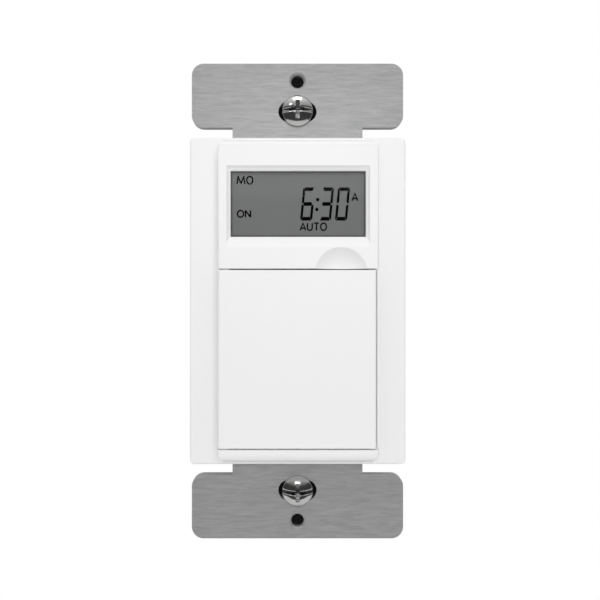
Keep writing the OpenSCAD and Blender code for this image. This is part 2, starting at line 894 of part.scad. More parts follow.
module microcontroller() {
    color("black") stand()
        translate([0, key_row_y - key_pitch_y, 0])
            slab(chip_size, chip_size, 0.3, board_back - chip_height, board_back);
}

module clock_crystal() {
    color("silver") stand()
        translate([0, key_row_y - key_pitch_y - chip_size / 2 - crystal_width, 0])
            slab(crystal_length, crystal_width, crystal_width / 2 - 0.05, board_back - crystal_height, board_back);
}

module backup_cell() {
    color("silver") stand()
        translate([0, cell_y, board_back - cell_thick])
            cylinder(d = cell_d, h = cell_thick);
}

module cell_clip() {
    half = cell_d / 2 + 0.1;
    color("gold") stand()
        translate([0, cell_y, 0])
            difference() {
                box([-half - clip_thick, -clip_width / 2, board_back - cell_thick - clip_thick],
                    [half + clip_thick, clip_width / 2, board_back]);
                box([-half, -clip_width, board_back - cell_thick], [half, clip_width, board_back + 1]);
            }
}

// Rear case and its screws
module rear_case() {
    seat = rear_inside - 0.4;
    color("whitesmoke") stand()
        difference() {
            union() {
                difference() {
                    mirror([0, 0, 1])
                        soft_block(rear_width, rear_height, rear_corner_r, 0, rear_depth, rear_edge_r, rear_edge_r);
                    slab(rear_width - 2 * rear_wall, rear_height - 2 * rear_wall, 0.6, rear_inside, 1);
                }
                at_corners(case_screw_x, case_screw_y)
                    translate([0, 0, rear_inside - 0.2])
                        cylinder(d = tube_d, h = board_back - rear_inside + 0.2);
                at_corners(post_x, post_y)
                    translate([0, 0, rear_inside - 0.2])
                        cylinder(d = post_d, h = post_height + 0.2);
                for (i = [-1:1])
                    translate([i * lead_pitch, lead_y, -rear_depth - collar_height])
                        cylinder(d = lead_hole_d + 2 * collar_wall, h = collar_height + 0.2);
            }
            at_corners(case_screw_x, case_screw_y) {
                translate([0, 0, -rear_depth - 1])
                    cylinder(r = case_screw_r + 0.15, h = rear_depth + 1);
                translate([0, 0, -rear_depth - 1])
                    cylinder(d = case_head_d + 0.4, h = rear_depth + 1 + seat);
            }
            for (s = [-1, 1])
                translate([s * post_x, s * post_y, power_back - post_height - 0.6])
                    cylinder(d = power_screw_d + 0.06, h = post_height + 2);
            for (i = [-1:1])
                translate([i * lead_pitch, lead_y, -rear_depth - collar_height - 1])
                    cylinder(d = lead_hole_d, h = collar_height + rear_wall + 2);
        }
}

module case_screws() {
    seat = rear_inside - 0.4;
    color("dimgray") stand()
        at_corners(case_screw_x, case_screw_y)
            difference() {
                union() {
                    translate([0, 0, seat - 0.2])
                        cylinder(r = case_screw_r, h = case_screw_reach - seat + 0.2);
                    translate([0, 0, seat - case_head_height])
                        cylinder(d = case_head_d, h = case_head_height);
                }
                for (turn = [0, 90])
                    rotate(turn)
                        box([-case_head_d / 3, -0.3, seat - case_head_height - 1],
                            [case_head_d / 3, 0.3, seat - case_head_height / 2]);
            }
}

// Power board and its parts
module power_board() {
    color("darkgreen") stand()
        difference() {
            slab(power_width, power_height, 1, power_back, power_front);
            for (s = [-1, 1])
                translate([s * post_x, s * post_y, power_back - 1])
                    cylinder(d = power_screw_d + 0.3, h = board_thick + 2);
            at_corners(case_screw_x, case_screw_y)
                translate([0, 0, power_back - 1])
                    cylinder(d = tube_d + 2 * board_clear, h = board_thick + 2);
        }
}

module power_screws() {
    color("silver") stand()
        for (s = [-1, 1])
            translate([s * post_x, s * post_y, 0]) {
                translate([0, 0, power_back - post_height])
                    cylinder(d = power_screw_d, h = post_height + board_thick + 0.2);
                translate([0, 0, power_front])
                    cylinder(d = 2 * power_screw_d, h = 1.2);
            }
}

module relay() {
    color("royalblue") stand()
        translate([relay_left + relay_width / 2, row_y + relay_length / 2, 0])
            soft_block(relay_width, relay_length, 0.8, power_front, power_front + relay_height, 0.5, 0.5);
}

module film_capacitor() {
    color("khaki") stand()
        translate([film_left + film_width / 2, row_y + film_length / 2, 0])
            soft_block(film_width, film_length, 0.6, power_front, power_front + film_height, 0.5, 0.5);
}

module electrolytic_capacitors() {
    color("midnightblue") stand() {
        translate([relay_left + large_cap_d / 2, cap_top - large_cap_d / 2, power_front])
            cylinder(d = large_cap_d, h = large_cap_height);
        translate([small_cap_left + small_cap_d / 2, cap_top - small_cap_d / 2, power_front])
            cylinder(d = small_cap_d, h = small_cap_height);
    }
}

module varistor() {
    color("orange") stand()
        translate([relay_left, low_top - varistor_d / 2, power_front + varistor_d / 2])
            rotate([0, 90, 0])
                cylinder(d = varistor_d, h = varistor_thick);
    color("orange") stand()
        box([relay_left, low_top - varistor_d / 2 - varistor_foot / 2, power_front],
            [relay_left + varistor_thick, low_top - varistor_d / 2 + varistor_foot / 2,
                power_front + varistor_d / 2]);
}

module fuse() {
    color("saddlebrown") stand()
        translate([fuse_x, cap_top - fuse_d / 2, power_front])
            cylinder(d = fuse_d, h = fuse_height);
}

module rectifier_diodes() {
    color("black") stand()
        for (i = [0:3])
            translate([diode_left + (diode_width + part_gap) * i, low_top - diode_length, 0])
                box([0, 0, power_front], [diode_width, diode_length, power_front + diode_height]);
}

module board_link() {
    half = link_pins * link_pitch / 2;
    color("black") stand()
        box([link_x - link_width / 2, -half, power_front],
            [link_x + link_width / 2, half, power_front + link_socket]);
    color("gold") stand()
        for (i = [0:link_pins - 1])
            translate([link_x, (i + 0.5) * link_pitch - half, power_front + link_socket - 0.2])
                translate([-link_pin / 2, -link_pin / 2, 0])
                    cube([link_pin, link_pin, board_back - power_front - link_socket + 0.2]);
}

module lead_eyelets() {
    color("goldenrod") stand()
        for (i = [-1:1])
            translate([i * lead_pitch, lead_y, power_back - eyelet_thick])
                difference() {
                    cylinder(d = lead_hole_d - 0.4, h = eyelet_thick);
                    translate([0, 0, -1])
                        cylinder(d = lead_hole_d / 2, h = 2 + eyelet_thick);
                }
}

mounting_strap();
mounting_screw(1);  // mounting_screw_top
mounting_screw(-1);  // mounting_screw_bottom
screw_retainers();
front_housing();
display_window();
display_panel();
display_holder();
contact_strips();
door();
on_off_bar();
setting_key(KEYS[0]);  // key_day
setting_key(KEYS[1]);  // key_hour
setting_key(KEYS[2]);  // key_minute
setting_key(KEYS[3]);  // key_program
setting_key(KEYS[4]);  // key_clock
setting_key(KEYS[5]);  // key_mode
reset_button();
plunger(bar_place);  // plunger_on_off
plunger(key_place(KEYS[0]));  // plunger_day
plunger(key_place(KEYS[1]));  // plunger_hour
plunger(key_place(KEYS[2]));  // plunger_minute
plunger(key_place(KEYS[3]));  // plunger_program
plunger(key_place(KEYS[4]));  // plunger_clock
plunger(key_place(KEYS[5]));  // plunger_mode
plunger(reset_place);  // plunger_reset
push_switches();
control_board();
microcontroller();
clock_crystal();
backup_cell();
cell_clip();
rear_case();
case_screws();
power_board();
power_screws();
relay();
film_capacitor();
electrolytic_capacitors();
varistor();
fuse();
rectifier_diodes();
board_link();
lead_eyelets();
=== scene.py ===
"""Timer light switch: finishes, display readout, threaded screws, studio light and camera."""
import math

import bmesh
import bpy
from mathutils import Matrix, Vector


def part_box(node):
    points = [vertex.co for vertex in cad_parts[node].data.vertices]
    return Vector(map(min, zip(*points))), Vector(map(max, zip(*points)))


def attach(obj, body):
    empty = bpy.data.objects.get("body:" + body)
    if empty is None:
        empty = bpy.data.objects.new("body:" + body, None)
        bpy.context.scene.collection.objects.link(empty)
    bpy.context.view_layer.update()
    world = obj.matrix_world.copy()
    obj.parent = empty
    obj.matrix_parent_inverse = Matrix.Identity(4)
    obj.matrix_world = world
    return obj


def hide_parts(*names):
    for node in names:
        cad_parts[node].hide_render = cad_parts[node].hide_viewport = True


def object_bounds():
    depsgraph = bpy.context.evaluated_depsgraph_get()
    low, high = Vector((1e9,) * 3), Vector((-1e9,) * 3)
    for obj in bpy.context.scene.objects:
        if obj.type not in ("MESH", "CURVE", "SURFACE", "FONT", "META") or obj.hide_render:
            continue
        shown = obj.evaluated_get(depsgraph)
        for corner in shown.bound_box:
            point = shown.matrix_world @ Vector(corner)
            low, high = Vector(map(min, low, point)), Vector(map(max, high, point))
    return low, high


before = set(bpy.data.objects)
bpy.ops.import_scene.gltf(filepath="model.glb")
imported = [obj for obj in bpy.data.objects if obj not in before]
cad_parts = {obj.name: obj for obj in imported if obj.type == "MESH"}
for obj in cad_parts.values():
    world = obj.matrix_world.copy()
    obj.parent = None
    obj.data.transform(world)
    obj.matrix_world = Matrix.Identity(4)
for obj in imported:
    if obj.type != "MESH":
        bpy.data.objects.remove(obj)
cad_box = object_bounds()

slot_of = {node: piece.material_slots[0].material.name for node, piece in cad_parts.items()}

MM = 0.001
IMAGE = 600

# Painted shade along the edges of the display, in millimetres across and up
EDGE_SHADE_CENTRE = (0.03, 20.3)
EDGE_SHADE_HALF = (13.72, 6.56)
EDGE_SHADE_FADE = 0.12


# Shader nodes
def grey(tone):
    """A grey colour with its alpha."""
    return (tone, tone, tone, 1.0)


def shade(colour, share):
    """A colour made lighter or darker, with its alpha."""
    return tuple(min(1.0, channel * share) for channel in colour) + (1.0,)


class Value:
    """A shader socket that takes part in arithmetic; each operation adds a Math node."""

    def __init__(self, nodes, socket):
        self.nodes = nodes
        self.socket = socket

    def math(self, operation, *inputs):
        return self.nodes.node("ShaderNodeMath", {"operation": operation}, dict(enumerate(inputs)))

    def __add__(self, other):
        return self.math("ADD", self, other)

    def __radd__(self, other):
        return self.math("ADD", other, self)

    def __sub__(self, other):
        return self.math("SUBTRACT", self, other)

    def __rsub__(self, other):
        return self.math("SUBTRACT", other, self)

    def __mul__(self, other):
        return self.math("MULTIPLY", self, other)

    def __pow__(self, other):
        return self.math("POWER", self, other)

    def most(self, other):
        return self.math("MAXIMUM", self, other)

    def size(self):
        return self.math("ABSOLUTE", self)


class Nodes:
    """A node tree that is filled from Python."""

    def __init__(self, tree):
        self.tree = tree
        self.tree.nodes.clear()

    def node(self, kind, settings=None, sockets=None, output=0):
        """Adds a node: its settings first, then the values or links of its sockets."""
        made = self.tree.nodes.new(kind)
        for name, value in (settings or {}).items():
            if name == "stops":
                self.set_stops(made.color_ramp, value)
            else:
                setattr(made, name, value)
        for name, value in (sockets or {}).items():
            if isinstance(value, Value):
                self.tree.links.new(value.socket, made.inputs[name])
            else:
                made.inputs[name].default_value = value
        return Value(self, made.outputs[output]) if made.outputs else made

    @staticmethod
    def set_stops(ramp, stops):
        """Gives a colour ramp its greys, as pairs of place and tone."""
        while len(ramp.elements) < len(stops):
            ramp.elements.new(1.0)
        for element, (place, tone) in zip(ramp.elements, stops):
            element.position = place
            element.color = grey(tone)

    def mix(self, factor, first, second):
        """Blends two colours."""
        return self.node("ShaderNodeMix", {"data_type": "RGBA"}, {0: factor, 6: first, 7: second}, 2)


class Finish(Nodes):
    """A procedural material."""

    def __init__(self, name):
        self.material = bpy.data.materials.new(name)
        self.material.use_nodes = True
        super().__init__(self.material.node_tree)

    def place(self, stretch=(1.0, 1.0, 1.0)):
        """Position on the piece in millimetres, drawn out along an axis where stretch is below 1."""
        spot = self.node("ShaderNodeTexCoord", output="Object")
        return self.node("ShaderNodeMapping", {}, {"Vector": spot, "Scale": [s / MM for s in stretch]})

    def noise(self, place, scale, detail=2.0, roughness=0.5):
        """Cloudy pattern; scale counts its waves in a millimetre."""
        return self.node("ShaderNodeTexNoise", {}, {
            "Vector": place, "Scale": scale, "Detail": detail, "Roughness": roughness})

    def bump(self, height, depth):
        """Relief whose full height is depth millimetres."""
        return self.node("ShaderNodeBump", {}, {"Height": height, "Distance": depth * MM})

    def surface(self, sockets):
        """Main shader with the given sockets."""
        return self.node("ShaderNodeBsdfPrincipled", {}, sockets)

    def close(self, shader):
        """Joins the shader to the output and hands over the material."""
        self.node("ShaderNodeOutputMaterial", {}, {"Surface": shader})
        return self.material


def moulded(name, colour, roughness=0.42, grain=0.004, drift=0.03):
    """Moulded plastic: a fine eroded grain, and a slow drift of tone as it cooled."""
    finish = Finish(name)
    place = finish.place()
    slow = finish.noise(place, 0.11, 2.0)
    fine = finish.noise(place, 5.5, 3.0, 0.6)
    tone = slow * 0.7 + fine * 0.3
    base = finish.mix(tone, shade(colour, 1 - drift), shade(colour, 1 + drift))
    return finish.close(finish.surface({
        "Base Color": base,
        "Roughness": roughness + (fine - 0.5) * 0.18,
        "Normal": finish.bump(fine, grain)}))


def brushed_steel(name, colour):
    """Rolled and brushed sheet: short streaks that run across the strap."""
    finish = Finish(name)
    broad = finish.noise(finish.place((0.16, 0.8, 1.1)), 1.0, 3.0, 0.6)
    streak = finish.noise(finish.place((0.3, 3.0, 4.2)), 1.0, 3.0, 0.6)
    hair = finish.noise(finish.place((0.5, 6.0, 14.0)), 1.0, 2.0, 0.5)
    tone = broad * 0.3 + streak * 0.45 + hair * 0.25
    spread = (tone - 0.5) * 2.4 + 0.5
    return finish.close(finish.surface({
        "Base Color": finish.mix(spread, shade(colour, 0.72), shade(colour, 1.28)),
        "Metallic": 0.36,
        "Roughness": 0.36 + streak * 0.16,
        "Normal": finish.bump(streak * 0.6 + hair * 0.4, 0.004)}))


def plated(name, colour, roughness):
    """Bright plate over turned metal, with faint handling marks."""
    finish = Finish(name)
    place = finish.place()
    marks = finish.noise(place, 3.0, 4.0, 0.6)
    tint = finish.noise(place, 0.4, 1.0)
    return finish.close(finish.surface({
        "Base Color": finish.mix(tint, shade(colour, 0.92), shade(colour, 1.06)),
        "Metallic": 1.0,
        "Roughness": roughness + (marks - 0.5) * 0.1,
        "Normal": finish.bump(marks, 0.0015)}))


def painted_shade_plate(name, colour):
    """Steel for the driver recess, made dark as painted shade, with scuffs from the driver that vary
    its tone.
    """
    finish = Finish(name)
    scuff = finish.noise(finish.place((1.0, 1.0, 3.0)), 2.5, 4.0, 0.65)
    return finish.close(finish.surface({
        "Base Color": finish.mix((scuff - 0.5) * 4.5 + 0.5, shade(colour, 0.2), shade(colour, 6.5)),
        "Metallic": 1.0,
        "Roughness": 0.3 + scuff * 0.2,
        "Normal": finish.bump(scuff, 0.01)}))


def pressed_fibre(name, colour):
    """Vulcanised fibre sheet: short matted fibres and a dry surface."""
    finish = Finish(name)
    mat = finish.noise(finish.place((0.5, 1.0, 1.6)), 2.5, 5.0, 0.7)
    return finish.close(finish.surface({
        "Base Color": finish.mix(mat, shade(colour, 0.6), shade(colour, 1.5)),
        "Roughness": 0.75 + mat * 0.2,
        "Normal": finish.bump(mat, 0.02)}))


def clear_sheet(name):
    """Clear polished window: light passes, and it mirrors more towards grazing angles."""
    finish = Finish(name)
    haze = finish.noise(finish.place(), 0.6, 3.0)
    turned_away = finish.node("ShaderNodeLayerWeight", {}, {"Blend": 0.5}, "Facing")
    mirror = turned_away ** 5 * 0.7 + 0.004
    gloss = finish.surface({
        "Base Color": (0.95, 0.97, 0.97, 1.0),
        "Metallic": 1.0,
        "Roughness": 0.03 + haze * 0.04})
    clear = finish.node("ShaderNodeBsdfTransparent", {}, {"Color": (0.99, 0.995, 0.995, 1.0)})
    return finish.close(finish.node("ShaderNodeMixShader", {}, {0: mirror, 1: clear, 2: gloss}))


def display_glass(name, colour):
    """Grey polariser with painted shade along its edges, and a painted glow of its own that lifts the
    shade under the bezel.
    """
    finish = Finish(name)
    place = finish.place()
    film = finish.noise(place, 7.0, 2.0)
    cloud = finish.noise(place, 0.12, 1.0)
    across = finish.node("ShaderNodeSeparateXYZ", {}, {"Vector": place}, "X")
    up = finish.node("ShaderNodeSeparateXYZ", {}, {"Vector": place}, "Z")
    # Painted shade: the grey darkens in a band along the edges of the display opening, where the bezel
    # shades it
    past_side = (across - EDGE_SHADE_CENTRE[0]).size() - EDGE_SHADE_HALF[0]
    past_end = (up - EDGE_SHADE_CENTRE[1]).size() - EDGE_SHADE_HALF[1]
    rim = finish.node("ShaderNodeMapRange", {}, {
        "Value": past_side.most(past_end), "From Min": -EDGE_SHADE_FADE, "From Max": EDGE_SHADE_FADE})
    tone = film * 0.4 + cloud * 0.6
    base = finish.mix(tone, shade(colour, 0.95), shade(colour, 1.05))
    # Painted glow: the display gives off light of its own, dimmer in the edge band, so the shadow of
    # the bezel on it fades
    painted_glow = finish.mix(rim, shade(colour, 1.0), shade(colour, 0.6))
    return finish.close(finish.surface({
        "Base Color": finish.mix(rim, base, shade(colour, 0.6)),
        "Emission Color": painted_glow,
        "Emission Strength": 0.8,
        "Roughness": 0.45 + (film - 0.5) * 0.1,
        "Normal": finish.bump(film, 0.001)}))


def circuit_board(name, colour):
    """Solder mask over copper: tracks show as a lighter, slightly raised pattern."""
    finish = Finish(name)
    place = finish.place()
    flat = finish.node("ShaderNodeMapping", {}, {"Vector": place, "Rotation": (math.pi / 2, 0.0, 0.0)})
    tracks = finish.node("ShaderNodeTexBrick", {"offset": 0.5, "squash": 1.0}, {
        "Vector": flat, "Color1": grey(0.0), "Color2": grey(0.0), "Mortar": grey(1.0),
        "Scale": 0.4, "Mortar Size": 0.05, "Brick Width": 1.8, "Row Height": 0.6})
    weave = finish.noise(place, 2.2, 3.0)
    copper = tracks * 0.6 + weave * 0.3
    return finish.close(finish.surface({
        "Base Color": finish.mix(copper, shade(colour, 0.8), shade(colour, 1.9)),
        "Roughness": 0.34 + weave * 0.12,
        "Normal": finish.bump(tracks, 0.03)}))


def display_ink(name):
    """Dark state of the liquid crystal."""
    finish = Finish(name)
    depth = finish.noise(finish.place(), 3.0, 2.0)
    return finish.close(finish.surface({
        "Base Color": finish.mix(depth, grey(0.0006), grey(0.0012)),
        "Specular IOR Level": 0.0,
        "Roughness": 0.6 + depth * 0.1}))


finishes = {
    "strap_steel": brushed_steel("strap_steel", (0.422, 0.422, 0.424)),
    "screw_steel": plated("screw_steel", (0.7, 0.7, 0.69), 0.13),
    "black_fibre": pressed_fibre("black_fibre", (0.004, 0.004, 0.004)),
    "white_plastic": moulded("white_plastic", (0.87, 0.87, 0.87), 0.42, 0.003, 0.012),
    "clear_window": clear_sheet("clear_window"),
    "display_grey": display_glass("display_grey", (0.081, 0.081, 0.081)),
    "grey_plastic": moulded("grey_plastic", (0.55, 0.56, 0.57), 0.45),
    "dark_plastic": moulded("dark_plastic", (0.06, 0.06, 0.065), 0.5),
    "contact_rubber": moulded("contact_rubber", (0.55, 0.3, 0.34), 0.75, 0.01),
    "rear_plastic": moulded("rear_plastic", (0.75, 0.75, 0.74), 0.5, 0.01, 0.03),
    "board_green": circuit_board("board_green", (0.03, 0.16, 0.06)),
    "cell_steel": plated("cell_steel", (0.65, 0.65, 0.66), 0.3),
    "contact_brass": plated("contact_brass", (0.75, 0.58, 0.25), 0.28),
    "relay_blue": moulded("relay_blue", (0.04, 0.12, 0.45), 0.4),
    "film_yellow": moulded("film_yellow", (0.8, 0.62, 0.12), 0.38),
    "sleeve_blue": moulded("sleeve_blue", (0.03, 0.04, 0.14), 0.3),
    "varistor_orange": moulded("varistor_orange", (0.75, 0.28, 0.03), 0.35, 0.008),
    "fuse_brown": moulded("fuse_brown", (0.2, 0.08, 0.04), 0.35),
}
ink = display_ink("display_ink")
# Painted shade: a much darker steel for the faces deep in the recesses of the screw heads
painted_shade_steel = painted_shade_plate("painted_shade_steel", (0.11, 0.11, 0.11))

# Width of the softened edge on each kind of piece, in millimetres
soft_edges = {
    "strap_steel": 0.18, "white_plastic": 0.07, "grey_plastic": 0.12, "rear_plastic": 0.15,
    "dark_plastic": 0.1, "black_fibre": 0.05, "relay_blue": 0.2, "film_yellow": 0.2,
}
SOFT_ANGLE = math.radians(38)
WELD_WITHIN = 0.001


def soft_bevel(piece, width, angle):
    """A narrow bevel on the edges that turn by more than an angle."""
    bevel = piece.modifiers.new("soft_edges", "BEVEL")
    bevel.width = width * MM
    bevel.segments = 2
    bevel.limit_method = "ANGLE"
    bevel.angle_limit = angle


def soften(piece, width):
    """Rounds the sharp edges of a piece by a hair, so that they catch the light."""
    weld = piece.modifiers.new("weld", "WELD")
    weld.merge_threshold = WELD_WITHIN * MM
    soft_bevel(piece, width, SOFT_ANGLE)
    even = piece.modifiers.new("even_normals", "WEIGHTED_NORMAL")
    even.keep_sharp = True


for node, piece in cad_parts.items():
    slot = slot_of[node]
    for place in piece.material_slots:
        place.material = finishes[slot]
    if slot in soft_edges:
        soften(piece, soft_edges[slot])


# Meshes
def on_panel(x, y, z):
    """A point given in millimetres across, up and out of the wall, in the shared frame."""
    return Vector((x, -z, y)) * MM


def add_object(name, data):
    """Puts a mesh, light or camera into the scene."""
    added = bpy.data.objects.new(name, data)
    bpy.context.scene.collection.objects.link(added)
    return added


def new_piece(name, mesh, piece_finishes, body):
    """Adds a mesh to the scene as a piece that rides on a body."""
    mesh.name = name
    for finish in piece_finishes:
        mesh.materials.append(finish)
    piece = add_object(name, mesh)
    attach(piece, body)
    return piece


def settled_mesh(piece):
    """The mesh of an object with its modifiers applied; the object itself goes."""
    ready = bpy.context.evaluated_depsgraph_get()
    mesh = bpy.data.meshes.new_from_object(piece.evaluated_get(ready))
    bpy.data.objects.remove(piece)
    return mesh


def angles(count):
    """Even steps of a full turn."""
    return [math.tau * k / count for k in range(count)]


def skin(work, rings):
    """Joins each ring of points to the next one and closes both ends."""
    count = len(rings[0])
    for before, after in zip(rings, rings[1:]):
        for k in range(count):
            n = (k + 1) % count
            work.faces.new((before[k], before[n], after[n], after[k]))
    work.faces.new(rings[0])
    work.faces.new(rings[-1][::-1])


def closed_mesh(work, name):
    """Turns finished work into a mesh whose faces look outwards."""
    bmesh.ops.recalc_face_normals(work, faces=work.faces)
    mesh = bpy.data.meshes.new(name)
    work.to_mesh(mesh)
    work.free()
    return mesh


# Display readout, in millimetres
INK_BACK = -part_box("display_panel")[0].y / MM
INK_FRONT = INK_BACK + 0.04
DIGIT_WIDTH = 2.53
DIGIT_HEIGHT = 6.93
DIGIT_BASE = 16.77
UPRIGHT = 0.5
BAR = 0.77
CORNER = 0.28
GAP = 0.03
WAIST_GAP = 0.16
SLANT = 0.0975
PEN = 0.3
LIT = {"6": "acdefg", "3": "abcdg", "0": "abcdef"}
DIGITS = (("6", 0.4), ("3", 4.32), ("0", 7.67))
COLON = ((4.09, 21.15), (3.92, 19.09))
DOT_WIDE = 0.345
DOT_HIGH = 0.365


def digit_segments():
    """Outlines of the seven segments of an upright digit whose lower left corner is the origin."""
    wide, high, half = DIGIT_WIDTH, DIGIT_HEIGHT, UPRIGHT / 2
    middle = high / 2
    inset = UPRIGHT + GAP
    shoulder = high - CORNER * 0.6
    waist = middle + WAIST_GAP
    top = [(CORNER + GAP, high), (wide - CORNER - GAP, high), (wide - half - GAP, shoulder),
           (wide - inset, high - BAR), (inset, high - BAR), (half + GAP, shoulder)]
    left_upper = [(0, waist), (0, high - CORNER), (half - GAP * 0.6, high - CORNER * 0.5 - GAP),
                  (UPRIGHT, high - BAR - GAP), (UPRIGHT, middle + BAR / 2 + GAP), (half, waist)]
    bar = [(half + GAP, middle), (inset, middle + BAR / 2), (wide - inset, middle + BAR / 2),
           (wide - half - GAP, middle), (wide - inset, middle - BAR / 2), (inset, middle - BAR / 2)]

    def flip_up(points):
        return [(x, high - y) for x, y in points][::-1]

    def flip_across(points):
        return [(wide - x, y) for x, y in points][::-1]

    return {"a": top, "d": flip_up(top), "f": left_upper, "e": flip_up(left_upper),
            "b": flip_across(left_upper), "c": flip_across(flip_up(left_upper)), "g": bar}


def ink_plate(work, points):
    """A thin plate of ink with the given outline."""
    skin(work, [[work.verts.new(on_panel(x, y, level)) for x, y in points]
                for level in (INK_BACK, INK_FRONT)])


def clock_digits():
    """The time of day in slanted segments, with its colon."""
    work = bmesh.new()
    segments = digit_segments()
    for sign, left in DIGITS:
        for name in LIT[sign]:
            ink_plate(work, [(left + x + y * SLANT, DIGIT_BASE + y) for x, y in segments[name]])
    for x, y in COLON:
        ink_plate(work, [(x + DOT_WIDE * math.cos(a), y + DOT_HIGH * math.sin(a)) for a in angles(12)])
    return closed_mesh(work, "clock_digits")


def round_letter():
    """A closed ring that fills the box of a letter."""
    return [(0.5 + 0.5 * math.cos(a), 0.5 + 0.5 * math.sin(a)) for a in angles(24)]


def cup_letter():
    """Two straight sides joined by a half round."""
    half_turn = [math.pi * k / 10 for k in range(11)]
    bowl = [(0.5 - 0.5 * math.cos(a), 0.36 - 0.36 * math.sin(a)) for a in half_turn]
    return [(0.0, 1.0)] + bowl + [(1.0, 1.0)]


# Each letter's width as a share of its height, and the strokes of the pen in its box
LETTERS = {
    "M": (1.1, [[(0.0, 0.0), (0.14, 1.0)], [(0.14, 1.0), (0.5, 0.06)],
                [(0.5, 0.06), (0.86, 1.0)], [(0.86, 1.0), (1.0, 0.0)]]),
    "O": (0.84, [round_letter()]),
    "N": (0.7, [[(0.0, 0.0), (0.0, 1.0)], [(0.0, 1.0), (1.0, 0.0)], [(1.0, 0.0), (1.0, 1.0)]]),
    "A": (0.8, [[(0.0, 0.0), (0.5, 1.0), (1.0, 0.0)], [(0.25, 0.3), (0.75, 0.3)]]),
    "U": (0.7, [cup_letter()]),
    "T": (0.72, [[(0.0, 1.0), (1.0, 1.0)], [(0.5, 0.92), (0.5, 0.0)]]),
}
LETTER_SPACE = 0.26
SHARP_TURN = 0.55


def pen_stroke(work, points, closed):
    """A flat stroke of the pen along a line of points on the display."""
    spots = [Vector(p) for p in points]
    count = len(spots)
    rims = []
    for i, spot in enumerate(spots):
        before = spots[i - 1] if closed or i > 0 else None
        after = spots[(i + 1) % count] if closed or i < count - 1 else None
        ways = []
        if before is not None:
            ways.append((spot - before).normalized())
        if after is not None:
            ways.append((after - spot).normalized())
        along = sum(ways, Vector((0.0, 0.0))).normalized()
        side = along.orthogonal()
        reach = PEN / 2 / max(side.dot(ways[0].orthogonal()), SHARP_TURN)
        edges = (spot + side * reach, spot - side * reach)
        levels = (INK_BACK, INK_BACK, INK_FRONT, INK_FRONT)
        rims.append([work.verts.new(on_panel(p.x, p.y, level))
                     for p, level in zip(edges + edges[::-1], levels)])
    for i in range(count if closed else count - 1):
        here, there = rims[i], rims[(i + 1) % count]
        for k in range(4):
            n = (k + 1) % 4
            work.faces.new((here[k], here[n], there[n], there[k]))
    if not closed:
        work.faces.new(rims[0])
        work.faces.new(rims[-1][::-1])


def word_mesh(text, left, right, bottom, top):
    """A word in plain capitals, fitted to a box on the display."""
    widths = [LETTERS[letter][0] for letter in text]
    total = sum(widths) + LETTER_SPACE * (len(text) - 1)
    across, up = right - left - PEN, top - bottom - PEN
    work = bmesh.new()
    place = 0.0
    for letter, width in zip(text, widths):
        for stroke in LETTERS[letter][1]:
            points = [(left + PEN / 2 + across * (place + x * width) / total, bottom + PEN / 2 + up * y)
                      for x, y in stroke]
            pen_stroke(work, points, letter == "O")
        place += width + LETTER_SPACE
    return closed_mesh(work, text)


# Name and text of each word, then its left, right, lower and upper edge
WORDS = (
    ("day_word", "MO", -12.88, -9.3, 24.24, 26.15),
    ("state_word", "ON", -12.78, -9.78, 17.33, 19.03),
    ("half_day_sign", "A", 11.12, 12.6, 20.76, 22.6),
    ("program_word", "AUTO", 0.3, 6.06, 14.58, 16.4),
)
new_piece("clock_digits", clock_digits(), [ink], "chassis")
for name, text, left, right, bottom, top in WORDS:
    new_piece(name, word_mesh(text, left, right, bottom, top), [ink], "chassis")

# Captive mounting screws, in millimetres; levels are measured out of the wall
AROUND = 48
HEAD_R = 3.35
HEAD_BACK = 1.5
HEAD_TOP = 3.6
HEAD_STEPS = 20
RIM_TOP = 2.2
EDGE = 0.06
EDGE_ANGLE = math.radians(30)
CREASE_ANGLE = math.radians(32)

NECK_R = 1.55
NECK_BACK = -1.2
NECK_FALL = 0.2
CREST_R = 1.75
ROOT_R = 1.36
PITCH = 0.794
PITCH_STEPS = 10
THREAD_START = NECK_BACK - 0.1
RUN_IN_TURNS = 1.5
SCREW_TIP = -20.5
TIP_MARGIN = 0.05
TIP_R = ROOT_R * 0.72
POINT = 1.0
POINT_SHARE = 0.75
RIDGE_SLOPE = 1.3
RIDGE_CUT = 0.15

CUT_TOP = HEAD_TOP + 0.2
SLOT_REACH = 3.7
SLOT_HALF = 0.32
SLOT_FLOOR = 1.85
SLOT_STEPS = 20
LIP_R = 0.55
LIP_TILT = math.radians(62)
LIP_STEPS = 5
LIP_RISE = 0.01
CROSS_TOP = (3.7, 0.95)
CROSS_LOW = (1.7, 0.6)
CROSS_FLOOR = HEAD_TOP - 1.5
ARM_REACH = 2.05
ARM_HALF = 0.45
ARM_FOOT = 0.5
ARM_FLOOR = 2.2
ARM_RISE = 0.06
RECESS_DEPTH = 0.28
RECESS_BACK = HEAD_BACK + 0.05
RECESS_R = HEAD_R - 0.1


def turned(work, rings, centre):
    """A closed turned shape: rings of (level, radius at an angle), capped at both ends."""
    loops = []
    for level, radius in rings:
        loop = []
        for angle in angles(AROUND):
            r = radius(angle) if callable(radius) else radius
            loop.append(work.verts.new(
                on_panel(r * math.cos(angle), centre + r * math.sin(angle), level)))
        loops.append(loop)
    skin(work, loops)


def dome_level(across):
    """Level of the domed head at a distance from its axis."""
    rise = HEAD_TOP - RIM_TOP
    dome_r = (HEAD_R ** 2 + rise ** 2) / (2 * rise)
    return HEAD_TOP - dome_r + math.sqrt(dome_r ** 2 - across ** 2)


def head_rings():
    """Domed head with an upright rim, from the top down."""
    rings = []
    for k in range(1, HEAD_STEPS + 1):
        across = HEAD_R * k / HEAD_STEPS
        rings.append((dome_level(across), across))
    rings.append((HEAD_BACK, HEAD_R))
    return rings


